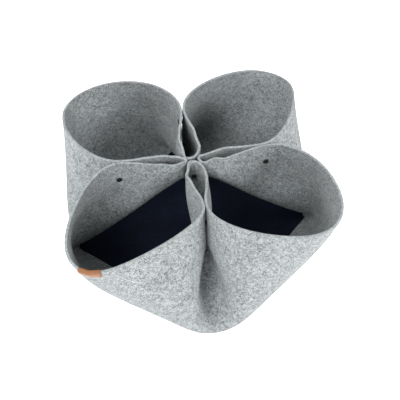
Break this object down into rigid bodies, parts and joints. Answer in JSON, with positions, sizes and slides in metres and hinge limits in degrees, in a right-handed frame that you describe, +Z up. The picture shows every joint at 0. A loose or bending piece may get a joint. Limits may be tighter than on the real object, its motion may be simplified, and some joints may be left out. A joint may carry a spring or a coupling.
{
  "type": "foldable felt pet tunnel bed",
  "caption": "Square felt sheet with its corners drawn up to the centre, standing as four tall round mouths around one floor mat.",
  "frame": {"origin": "on the floor under the middle of the bed", "axes": "+Z up, +X out of the right mouth, -Y out of the front mouth, which carries the tag"},
  "size_m": [0.6566, 0.6943, 0.2675],
  "materials": {
    "felt": "matt mottled felt",
    "mat": "matt",
    "leather": "satin",
    "stud": "satin"
  },
  "bodies": {
    "root": {"felt_sheet": "felt", "floor_mat": "mat", "leather_tag": "leather", "tip_rivet": "stud", "stud_cap_front_right_x": "stud", "stud_cap_front_right_y": "stud", "stud_knob_front_right": "stud", "stud_socket_front_right": "stud", "stud_cap_back_right_x": "stud", "stud_cap_back_right_y": "stud", "stud_knob_back_right": "stud", "stud_socket_back_right": "stud", "stud_cap_back_left_x": "stud", "stud_cap_back_left_y": "stud", "stud_knob_back_left": "stud", "stud_socket_back_left": "stud", "stud_cap_front_left_x": "stud", "stud_cap_front_left_y": "stud", "stud_knob_front_left": "stud", "stud_socket_front_left": "stud"}
  },
  "joints": []
}
